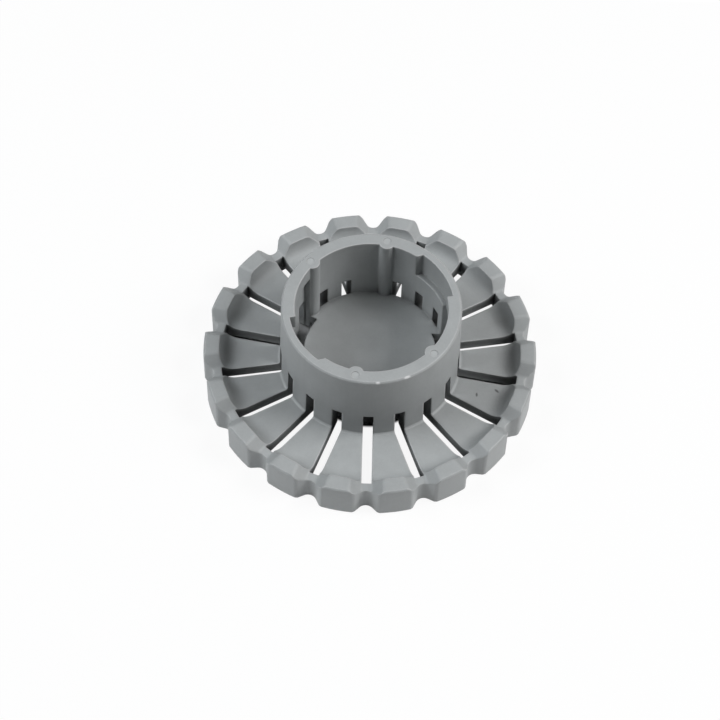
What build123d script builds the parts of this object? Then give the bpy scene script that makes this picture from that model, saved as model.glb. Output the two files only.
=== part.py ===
from build123d import *
from math import radians, sin, sqrt, tan
import os

# Slotted collar, one moulded piece. Millimetres; the ring stands on z = 0 and the cup opens upwards.

# Cup
cup_height = 29.0
cup_rim_radius = 22.5
cup_base_radius = 23.0
cup_foot_bevel = 0.5
cup_rim_bevel = 0.4
bore_radius = 19.1
floor_top = 8.0
floor_thickness = 3.0

# Flange and the slots that part it into petals
flange_top = 5.9
flange_thickness = 3.2
petal_count = 18
slot_width = 2.54
slot_end_radius = 38.0
slot_top = 13.9
whole_wall_angle = 90.0

# Ring of lobes, one on each petal
ring_width = 4.4
ring_foot_bevel = 1.0
lobe_height = 10.1
lobe_gap = 8.4
lobe_set_back = 0.4
lobe_edge_bevel = 0.4
saddle_height = 7.2
saddle_width = 2.6
saddle_round = 1.2
groove_depth = 2.3
groove_round = 2.2
flank_angle = 45

# Bayonet socket, two of everything, half a turn apart; angles run anticlockwise from +X
lug_radius = 20.55
lip_bottom = 24.4
ledge_height = 21.0
pocket_angles = (11.0, 51.9)
pocket_angles_inside = (11.0, 60.1)
track_angles = (-34.0, 17.8)
track_angles_inside = (-35.6, 22.3)
track_inner_radius = 17.0

# Ribs up the bore, each with an ejector mark on its end
rib_angles = (80.0, 139.5)
rib_axis_radius = 20.0
rib_radius = 2.0
mark_axis_radius = 20.5
mark_radius = 1.0
mark_depth = 0.15

# Sizes that follow
petal_pitch = 360 / petal_count
first_slot = petal_pitch / 2
flange_bottom = flange_top - flange_thickness
floor_bottom = floor_top - floor_thickness
ring_radius = slot_end_radius + ring_width
groove_radius = ring_radius - groove_depth
lobe_inner_radius = slot_end_radius + lobe_set_back
scoop_radius = lobe_height - flange_top
scoop_foot = lobe_inner_radius - scoop_radius
whole_wall_slot = round((whole_wall_angle - first_slot) / petal_pitch) % petal_count
clear = 1.0
near = 0.01
slot_start = sqrt(bore_radius ** 2 - (slot_width / 2) ** 2) - near


def around(shape, count, start=0.0):
    return [Rot(0, 0, start + 360 / count * i) * shape for i in range(count)]


def round_corner(face, radius, *points):
    return fillet([face.vertices().sort_by_distance((*p, 0))[0] for p in points], radius)


def polar(radius, angle):
    return Vector(radius, 0, 0).rotate(Axis.Z, angle)


def on_lobe(edge):
    middle = edge.center()
    if abs(middle.Z - lobe_height) < near:
        return Vector(middle.X, middle.Y).length > (lobe_inner_radius + groove_radius) / 2
    upright = edge.geom_type == GeomType.LINE and 1 - abs(edge.tangent_at(0).Z) < near
    return upright and abs(Vector(middle.X, middle.Y).length - ring_radius) < near


def sector(outer, inner, bottom, top):
    (r_out, out_ends), (r_in, in_ends) = outer, inner
    a, b = (polar(r_out, angle) for angle in out_ends)
    c, d = (polar(r_in, angle) for angle in in_ends)
    rim = ThreePointArc(a, polar(r_out, sum(out_ends) / 2), b)
    hub = ThreePointArc(d, polar(r_in, sum(in_ends) / 2), c)
    outline = make_face([rim, Line(b, d), hub, Line(c, a)])
    return extrude(Pos(0, 0, bottom) * outline, top - bottom, dir=(0, 0, 1))


# Half section of cup, floor, flange and ring, turned about the axis
scoop_top = (lobe_inner_radius, lobe_height)
scoop_end = (scoop_foot, flange_top)
ring_side = Polyline(
    (0, floor_bottom),
    (bore_radius, floor_bottom),
    (bore_radius, flange_bottom),
    (slot_end_radius, flange_bottom),
    (slot_end_radius, ring_foot_bevel),
    (slot_end_radius + ring_foot_bevel, 0),
    (ring_radius, 0),
    (ring_radius, lobe_height),
    scoop_top,
)
scoop = CenterArc((scoop_foot, lobe_height), scoop_radius, 270, 90)
cup_side = Polyline(
    scoop_end,
    (cup_base_radius + cup_foot_bevel, flange_top),
    (cup_base_radius, flange_top + cup_foot_bevel),
    (cup_rim_radius, cup_height - cup_rim_bevel),
    (cup_rim_radius - cup_rim_bevel, cup_height),
    (bore_radius, cup_height),
    (bore_radius, floor_top),
    (0, floor_top),
    (0, floor_bottom),
)
section = make_face([ring_side, scoop, cup_side])
collar = Rot(0, 0, first_slot) * revolve(Plane.XZ * section, Axis.Z)

# Rounded upright grooves that part the lobes
groove_tip = groove_radius - groove_round * (1 / sin(radians(flank_angle)) - 1)
groove_end = 2 * ring_radius - groove_tip
groove_half = (groove_end - groove_tip) * tan(radians(flank_angle))
groove = make_face(Polyline(
    (groove_tip, 0),
    (groove_end, groove_half),
    (groove_end, -groove_half),
    close=True,
))
groove = round_corner(groove, groove_round, (groove_tip, 0))
groove_cut = extrude(Pos(0, 0, -clear) * groove, lobe_height + 2 * clear, dir=(0, 0, 1))
collar = collar - around(groove_cut, petal_count, first_slot)

# Saddles between the tops of the lobes
saddle_half = saddle_width / 2
flank_slope = (lobe_gap - saddle_width) / 2 / (lobe_height - saddle_height)
flank_run = (lobe_height + clear - saddle_height) * flank_slope
saddle = make_face(Polyline(
    (-saddle_half - flank_run, lobe_height + clear),
    (-saddle_half, saddle_height),
    (saddle_half, saddle_height),
    (saddle_half + flank_run, lobe_height + clear),
    close=True,
))
saddle = round_corner(saddle, saddle_round, (-saddle_half, saddle_height), (saddle_half, saddle_height))
saddle_cut = Pos(scoop_foot, 0, 0) * extrude(Plane.YZ * saddle, ring_radius, dir=(1, 0, 0))
collar = collar - around(saddle_cut, petal_count, first_slot)

# Broken edges of the lobes
collar = chamfer([edge for edge in collar.edges() if on_lobe(edge)], lobe_edge_bevel)


# Slots through flange and cup wall; the one at the back leaves the wall whole
def slot(start):
    to_start = (Align.MIN, Align.CENTER, Align.MIN)
    return Pos(start, 0, -clear) * Box(slot_end_radius - start, slot_width, slot_top + clear, align=to_start)


slots = around(slot(slot_start), petal_count, first_slot)
flange_slots = around(slot(cup_base_radius + cup_foot_bevel), petal_count, first_slot)
slots[whole_wall_slot] = flange_slots[whole_wall_slot]
collar = collar - slots

# Bayonet pockets, and the tracks under the lips, open through the floor
pocket_ends = (lug_radius, pocket_angles), (track_inner_radius, pocket_angles_inside)
track_ends = (lug_radius, track_angles), (track_inner_radius, track_angles_inside)
pocket = sector(*pocket_ends, ledge_height, cup_height + clear)
track = sector(*track_ends, -clear, lip_bottom)
collar = collar - around(pocket, 2) - around(track, 2)

# Ribs and ejector marks
rib_foot = (floor_bottom + floor_top) / 2
rib = Pos(rib_axis_radius, 0, rib_foot) * extrude(Circle(rib_radius), cup_height - rib_foot)
mark = Pos(mark_axis_radius, 0, cup_height - mark_depth) * extrude(Circle(mark_radius), clear)
for angle in rib_angles:
    collar = collar + around(rib, 2, angle)
for angle in rib_angles:
    collar = collar - around(mark, 2, angle)

collar.label = "slotted_collar"
os.makedirs("parts", exist_ok=True)
export_step(collar, "parts/slotted_collar.step")
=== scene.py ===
from math import cos, radians, sin

import bpy
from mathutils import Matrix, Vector

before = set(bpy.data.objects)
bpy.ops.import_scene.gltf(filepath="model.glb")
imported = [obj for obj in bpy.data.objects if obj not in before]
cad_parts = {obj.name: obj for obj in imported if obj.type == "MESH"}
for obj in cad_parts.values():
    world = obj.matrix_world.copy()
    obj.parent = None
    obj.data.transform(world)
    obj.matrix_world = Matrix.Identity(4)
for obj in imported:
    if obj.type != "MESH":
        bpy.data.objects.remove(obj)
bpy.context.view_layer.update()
scene = bpy.context.scene
scene.view_settings.view_transform = "Standard"
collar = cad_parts["slotted_collar"]
print("frame loaded")

cameraSettings = {
    "place": (-0.0039136, -0.3164971, 0.4939190),
    "turn": (32.8727, -1.0315, 1.3299),  # degrees
    "lens": 113.46,
    "sensor": 36.0,
    "nearest": 0.01,
}


def addCamera(settings):
    data = bpy.data.cameras.new("photoCamera")
    data.lens = settings["lens"]
    data.sensor_width = settings["sensor"]
    data.clip_start = settings["nearest"]
    camera = bpy.data.objects.new("photoCamera", data)
    camera.location = settings["place"]
    camera.rotation_euler = [radians(angle) for angle in settings["turn"]]
    scene.collection.objects.link(camera)
    scene.camera = camera


addCamera(cameraSettings)
print("camera set")


def metres(lengths):  # from millimetres
    return [length / 1000 for length in lengths]


def grey(value):
    return (value, value, value, 1.0)


def put(tree, kind, feeds, **options):  # one node, its inputs linked or set
    node = tree.nodes.new("ShaderNode" + kind)
    for option, value in options.items():
        setattr(node, option, value)
    for socket, value in feeds.items():
        if isinstance(value, bpy.types.NodeSocket):
            tree.links.new(value, node.inputs[socket])
        else:
            node.inputs[socket].default_value = value
    return node


def calc(tree, operation, first, second=0.0):
    return put(tree, "Math", {0: first, 1: second}, operation=operation).outputs["Value"]


def spread(tree, value, low, high):  # 0 to 1 becomes low to high
    return put(tree, "MapRange", {"Value": value, "To Min": low, "To Max": high}).outputs["Result"]


def step(tree, value, start, end):  # smooth, 0 at start and 1 at end
    feeds = {"Value": value, "From Min": start, "From Max": end}
    return put(tree, "MapRange", feeds, interpolation_type="SMOOTHSTEP").outputs["Result"]


def tint(tree, amount, colour, second, style="MIX"):
    feeds = {0: amount, 6: colour, 7: second}  # factor and the two colours
    return put(tree, "Mix", feeds, data_type="RGBA", blend_type=style).outputs[2]


def mirroredRay(tree, rays):  # 1 for a ray that a gloss or glass sends on
    return calc(tree, "MAXIMUM", rays["Is Glossy Ray"], rays["Is Transmission Ray"])


def newGroup(name, inputs, outputs):
    tree = bpy.data.node_groups.new(name, "ShaderNodeTree")
    for direction, sockets in (("INPUT", inputs), ("OUTPUT", outputs)):
        for label, kind in sockets.items():
            tree.interface.new_socket(label, in_out=direction, socket_type="NodeSocket" + kind)
    return tree, tree.nodes.new("NodeGroupInput").outputs, tree.nodes.new("NodeGroupOutput").inputs


def useGroup(tree, group, feeds):
    return put(tree, "Group", feeds, node_tree=group).outputs


grainSettings = {
    "fine": {"Detail": 3.0, "Roughness": 0.6},
    "broad": {"Detail": 4.0, "Roughness": 0.55},
    "lines": {"Detail": 2.0, "Scale": 1.0},
    "middle": 0.5,  # of the noise, where a line neither lightens nor darkens
    "slope": (0.5, 0.1),  # upward part of the normal where draw marks start and are full
}


def grainGroup(settings):  # fine grain, broad mottle, and draw marks down the steep faces
    inputs = {
        "Vector": "Vector",
        "Grain Scale": "Float",
        "Mottle Scale": "Float",
        "Streak Scale": "Vector",
    }
    outputs = {"Grain": "Float", "Mottle": "Float", "Streak": "Float"}
    tree, given, made = newGroup("mouldGrain", inputs, outputs)

    def noise(place, feeds):
        return put(tree, "TexNoise", {"Vector": place, **feeds}).outputs["Fac"]

    fine = noise(given["Vector"], {"Scale": given["Grain Scale"], **settings["fine"]})
    broad = noise(given["Vector"], {"Scale": given["Mottle Scale"], **settings["broad"]})
    stretch = {0: given["Vector"], 1: given["Streak Scale"]}
    drawn = put(tree, "VectorMath", stretch, operation="MULTIPLY").outputs["Vector"]
    lines = calc(tree, "SUBTRACT", noise(drawn, settings["lines"]), settings["middle"])
    facing = put(tree, "NewGeometry", {}).outputs["Normal"]
    level = calc(tree, "ABSOLUTE", put(tree, "SeparateXYZ", {0: facing}).outputs["Z"])
    tree.links.new(fine, made["Grain"])
    tree.links.new(broad, made["Mottle"])
    tree.links.new(calc(tree, "MULTIPLY", lines, step(tree, level, *settings["slope"])), made["Streak"])
    return tree


recessSettings = {"samples": 16}


def recessGroup(settings):  # 1 on open faces, towards 0 deep in slots
    tree, given, made = newGroup("recessShade", {"Reach": "Float"}, {"Open": "Float"})
    feeds = {"Distance": given["Reach"]}
    sky = put(tree, "AmbientOcclusion", feeds, samples=settings["samples"], only_local=True)
    tree.links.new(sky.outputs["AO"], made["Open"])
    return tree


edgeSettings = {
    "samples": 8,
    "bend": (0.99, 0.88),  # likeness of the rounded and flat normals where an edge starts and is full
    "open": (0.75, 0.95),  # openness over which an edge counts as an outer one
}


def edgeGroup(settings):  # rounded normal, and a mask of the outer edges for wear and a painted highlight
    inputs = {"Radius": "Float", "Open": "Float"}
    tree, given, made = newGroup("edgeWearAndHighlight", inputs, {"Edge": "Float", "Normal": "Vector"})
    feeds = {"Radius": given["Radius"]}
    rounded = put(tree, "Bevel", feeds, samples=settings["samples"]).outputs["Normal"]
    facing = put(tree, "NewGeometry", {}).outputs["True Normal"]
    normals = {0: rounded, 1: facing}
    likeness = put(tree, "VectorMath", normals, operation="DOT_PRODUCT").outputs["Value"]
    bent = step(tree, likeness, *settings["bend"])
    outer = step(tree, given["Open"], *settings["open"])
    tree.links.new(calc(tree, "MULTIPLY", bent, outer), made["Edge"])
    tree.links.new(rounded, made["Normal"])
    return tree


def markGroup():  # soft ellipsoid, 1 inside
    inputs = dict.fromkeys(("Vector", "Centre", "Turn", "Size"), "Vector") | {"Softness": "Float"}
    tree, given, made = newGroup("surfaceMark", inputs, {"Mask": "Float"})
    feeds = {
        "Vector": given["Vector"],
        "Location": given["Centre"],
        "Rotation": given["Turn"],
        "Scale": given["Size"],
    }
    local = put(tree, "Mapping", feeds, vector_type="TEXTURE").outputs["Vector"]
    reach = put(tree, "VectorMath", {0: local}, operation="LENGTH").outputs["Value"]
    inside = calc(tree, "SUBTRACT", 1.0, given["Softness"])
    tree.links.new(step(tree, reach, 1.0, inside), made["Mask"])
    return tree


mouldGrain = grainGroup(grainSettings)
recessShade = recessGroup(recessSettings)
edgeWearAndHighlight = edgeGroup(edgeSettings)
surfaceMark = markGroup()


def markMask(tree, place, mark, softness):
    feeds = {
        "Vector": place,
        "Centre": metres(mark["centre"]),
        "Turn": (0.0, 0.0, radians(mark.get("turn", 0.0))),
        "Size": metres(mark["size"]),
        "Softness": softness,
    }
    return useGroup(tree, surfaceMark, feeds)["Mask"]


print("node groups made")

plasticSettings = {
    "colour": (0.343, 0.356, 0.358, 1.0),
    "roughness": (0.42, 0.62),
    "grainScale": 1800.0,
    "grainHeight": 0.00003,
    "grainStrength": 1.0,
    "grainTone": 0.06,
    "mottleScale": 260.0,
    "mottleTone": 0.1,
    "streakScale": (900.0, 900.0, 60.0),
    "streakTone": 0.08,
    "edgeRadius": 0.0007,
    "edgeTone": 0.58,
    "edgeLight": 0.6,
    # painted shade in recesses: reach, depth and tone
    "recessReach": 0.007,
    "recessDeep": 0.2,
    "recessOpen": 0.7,
    "recessTone": 0.1,
}
wearSettings = {  # millimetres and degrees, on the collar's axes
    "softness": 0.7,
    "marks": {
        "nickFront": {
            "centre": (2.0, -22.3, 28.85),
            "size": (0.8, 0.45, 0.6),
            "turn": 5.0,
            "tone": 0.8,
        },
        "nickRight": {
            "centre": (9.1, -20.4, 28.85),
            "size": (1.2, 0.45, 0.6),
            "turn": 24.0,
            "tone": 0.8,
        },
        "scuffInner": {
            "centre": (27.4, -10.4, 5.9),
            "size": (0.85, 0.38, 0.6),
            "turn": 90.0,
            "tone": 0.06,
        },
        "scuffOuter": {
            "centre": (32.5, -9.1, 5.9),
            "size": (1.0, 0.45, 0.6),
            "turn": -45.0,
            "tone": 0.05,
        },
    },
    "strength": 0.85,
}
blushAndShadeSettings = {  # pale ring round a darker middle on the cup's floor, millimetres; partly moulding blush, partly painted light and shade
    "softness": 0.9,
    "marks": {
        "paleRing": {"centre": (0.0, 5.0, 8.0), "size": (15.0, 13.0, 3.0), "lift": 1.14},
        "darkMiddle": {"centre": (0.0, 3.5, 8.0), "size": (7.0, 6.5, 3.0), "lift": 0.84},
    },
}
ejectorSettings = {  # paler ends of the four ribs
    "angles": (80.0, 139.5, 260.0, 319.5),
    "radius": 20.5,
    "height": 28.85,
    "size": (1.0, 1.0, 0.6),
    "softness": 0.15,
    "lift": 1.14,
}


def plasticTone(tree, settings, grain, openness):  # grain, mottle, draw marks and painted shade in recesses
    mottle = spread(tree, grain["Mottle"], 1 - settings["mottleTone"], 1 + settings["mottleTone"])
    speckle = spread(tree, grain["Grain"], -settings["grainTone"], settings["grainTone"])
    streak = calc(tree, "MULTIPLY", grain["Streak"], settings["streakTone"])
    tone = calc(tree, "ADD", mottle, calc(tree, "ADD", speckle, streak))
    # painted shade: base colour darkened deep in slots, creases and recesses
    opened = step(tree, openness, settings["recessDeep"], settings["recessOpen"])
    return calc(tree, "MULTIPLY", tone, spread(tree, opened, settings["recessTone"], 1.0))


def addWear(tree, place, colour, settings):
    for mark in settings["marks"].values():
        mask = markMask(tree, place, mark, settings["softness"])
        amount = calc(tree, "MULTIPLY", mask, settings["strength"])
        colour = tint(tree, amount, colour, grey(mark["tone"]))
    return colour


def addBlushAndShade(tree, place, colour, settings):
    for mark in settings["marks"].values():
        mask = markMask(tree, place, mark, settings["softness"])
        colour = tint(tree, mask, colour, grey(mark["lift"]), "MULTIPLY")
    return colour


def addEjectorMarks(tree, place, colour, settings):
    for angle in settings["angles"]:
        across, along = cos(radians(angle)), sin(radians(angle))
        centre = (settings["radius"] * across, settings["radius"] * along, settings["height"])
        mask = markMask(tree, place, {"centre": centre, "size": settings["size"]}, settings["softness"])
        colour = tint(tree, mask, colour, grey(settings["lift"]), "MULTIPLY")
    return colour


def makePlastic(settings):
    material = bpy.data.materials.new("greyPlastic")
    material.use_nodes = True
    tree = material.node_tree
    shader = tree.nodes["Principled BSDF"]
    place = put(tree, "TexCoord", {}).outputs["Object"]
    grainFeeds = {
        "Vector": place,
        "Grain Scale": settings["grainScale"],
        "Mottle Scale": settings["mottleScale"],
        "Streak Scale": settings["streakScale"],
    }
    grain = useGroup(tree, mouldGrain, grainFeeds)
    openness = useGroup(tree, recessShade, {"Reach": settings["recessReach"]})["Open"]
    edges = useGroup(tree, edgeWearAndHighlight, {"Radius": settings["edgeRadius"], "Open": openness})
    tone = plasticTone(tree, settings, grain, openness)
    colour = tint(tree, 1.0, settings["colour"], tone, "MULTIPLY")
    # outer edges paled: partly wear, partly a painted highlight
    wornAndHighlit = calc(tree, "MULTIPLY", edges["Edge"], settings["edgeLight"])
    colour = tint(tree, wornAndHighlit, colour, grey(settings["edgeTone"]))
    # floor ring: moulding blush, partly painted light and shade
    colour = addBlushAndShade(tree, place, colour, blushAndShadeSettings)
    colour = addWear(tree, place, colour, wearSettings)
    colour = addEjectorMarks(tree, place, colour, ejectorSettings)
    bumpFeeds = {
        "Strength": settings["grainStrength"],
        "Distance": settings["grainHeight"],
        "Height": grain["Grain"],
        "Normal": edges["Normal"],
    }
    tree.links.new(colour, shader.inputs["Base Color"])
    tree.links.new(spread(tree, grain["Mottle"], *settings["roughness"]), shader.inputs["Roughness"])
    tree.links.new(put(tree, "Bump", bumpFeeds).outputs["Normal"], shader.inputs["Normal"])
    return material


plastic = makePlastic(plasticSettings)
for slot in collar.material_slots:
    slot.material = plastic
print("plastic made")

studioSettings = {
    "distance": 0.8,
    "size": 0.4,
    "boxes": {
        "rightBox": {"azimuth": -4, "elevation": 45, "watts": 5.2, "colour": (1.0, 1.0, 1.0)},
        "leftBox": {"azimuth": 184, "elevation": 45, "watts": 4.2, "colour": (0.94, 0.975, 1.0)},
    },
}


def addSoftbox(name, box, settings):
    data = bpy.data.lights.new(name, "AREA")
    data.shape = "SQUARE"
    data.size = settings["size"]
    data.energy = box["watts"]
    data.color = box["colour"]
    azimuth, elevation = radians(box["azimuth"]), radians(box["elevation"])
    level = cos(elevation)
    towards = Vector((level * cos(azimuth), level * sin(azimuth), sin(elevation)))
    lamp = bpy.data.objects.new(name, data)
    lamp.location = towards * settings["distance"]
    lamp.rotation_euler = (-towards).to_track_quat("-Z", "Y").to_euler()
    scene.collection.objects.link(lamp)


for name, box in studioSettings["boxes"].items():
    addSoftbox(name, box, studioSettings)
print("lights set")

floorSettings = {
    "size": 0.26,
    "drop": 0.0002,
    "colour": 0.92,
    "roughness": 1.0,
    "specular": 0.0,
    "white": 1.0,
    "shadow": 0.08,  # share of the lamps' light and shadow left in the white
    "hollowRadius": 0.038,
    "shadeTone": 0.25,
    "shadeSoftness": 0.05,
    "shades": {  # painted shade: ground in the hollow painted dark where it shows through the openings, in millimetres
        "underCup": {"centre": (0.0, 0.0, 0.0), "size": (17.6, 17.6, 10.0)},
        "behindCup": {"centre": (0.0, 9.0, 0.0), "size": (22.8, 14.9, 10.0)},
        "betweenWindows": {"centre": (0.0, 27.0, 0.0), "size": (7.0, 5.0, 10.0)},
        "leftSlot": {"centre": (-31.0, 9.0, 0.0), "size": (12.0, 4.0, 10.0)},
        "rightSlot": {"centre": (31.0, -2.0, 0.0), "size": (12.0, 3.0, 10.0)},
        "leftTrack": {"centre": (-17.6, 9.5, 0.0), "size": (5.0, 7.0, 10.0), "tone": 0.6},
    },
}


def shadeGround(tree, place, inView, settings):  # mask of the painted shades, and the ground's colour with them painted in
    shaded, colour = 0.0, grey(settings["colour"])
    for shade in settings["shades"].values():
        mask = calc(tree, "MULTIPLY", inView, markMask(tree, place, shade, settings["shadeSoftness"]))
        shaded = calc(tree, "MAXIMUM", shaded, mask)
        colour = tint(tree, mask, colour, grey(shade.get("tone", settings["shadeTone"])))
    return shaded, colour


def makeFloorPaint(settings):  # white to the camera, with a faint shadow left
    material = bpy.data.materials.new("paleFloor")
    material.use_nodes = True
    tree = material.node_tree
    shader = tree.nodes["Principled BSDF"]
    shader.inputs["Roughness"].default_value = settings["roughness"]
    shader.inputs["Specular IOR Level"].default_value = settings["specular"]
    shader.inputs["Emission Strength"].default_value = settings["white"]
    rays = put(tree, "LightPath", {}).outputs
    geometry = put(tree, "NewGeometry", {}).outputs
    place = geometry["Position"]
    reach = put(tree, "VectorMath", {0: place}, operation="LENGTH").outputs["Value"]
    outside = calc(tree, "GREATER_THAN", reach, settings["hollowRadius"])
    inView = calc(tree, "MULTIPLY", rays["Is Camera Ray"], calc(tree, "SUBTRACT", 1.0, outside))
    shaded, colour = shadeGround(tree, place, inView, settings)
    seen = calc(tree, "SUBTRACT", rays["Is Camera Ray"], shaded)
    mirrored = calc(tree, "MULTIPLY", mirroredRay(tree, rays), outside)
    glow = calc(tree, "MULTIPLY", calc(tree, "MAXIMUM", seen, mirrored), 1 - settings["shadow"])
    tree.links.new(glow, shader.inputs["Emission Color"])
    tree.links.new(tint(tree, glow, colour, grey(0.0)), shader.inputs["Base Color"])
    clear = put(tree, "BsdfTransparent", {}).outputs["BSDF"]
    oneSided = {"Fac": geometry["Backfacing"], 1: shader.outputs["BSDF"], 2: clear}  # not seen from below
    paint = put(tree, "MixShader", oneSided).outputs["Shader"]
    tree.links.new(paint, tree.nodes["Material Output"].inputs["Surface"])
    return material


def addFloor(settings):
    bpy.ops.mesh.primitive_plane_add(size=settings["size"], location=(0, 0, -settings["drop"]))
    floor = bpy.context.object
    floor.name = "floor"
    floor.data.materials.append(makeFloorPaint(settings))


addFloor(floorSettings)
print("floor set")

backdropSettings = {"colour": grey(1.0)}


def addBackdrop(settings):  # white past the floor, seen directly and mirrored
    world = bpy.data.worlds.new("whiteBackdrop")
    world.use_nodes = True
    tree = world.node_tree
    background = tree.nodes["Background"]
    background.inputs["Color"].default_value = settings["colour"]
    rays = put(tree, "LightPath", {}).outputs
    shown = calc(tree, "MAXIMUM", rays["Is Camera Ray"], mirroredRay(tree, rays))
    tree.links.new(shown, background.inputs["Strength"])
    scene.world = world


addBackdrop(backdropSettings)
print("backdrop set")
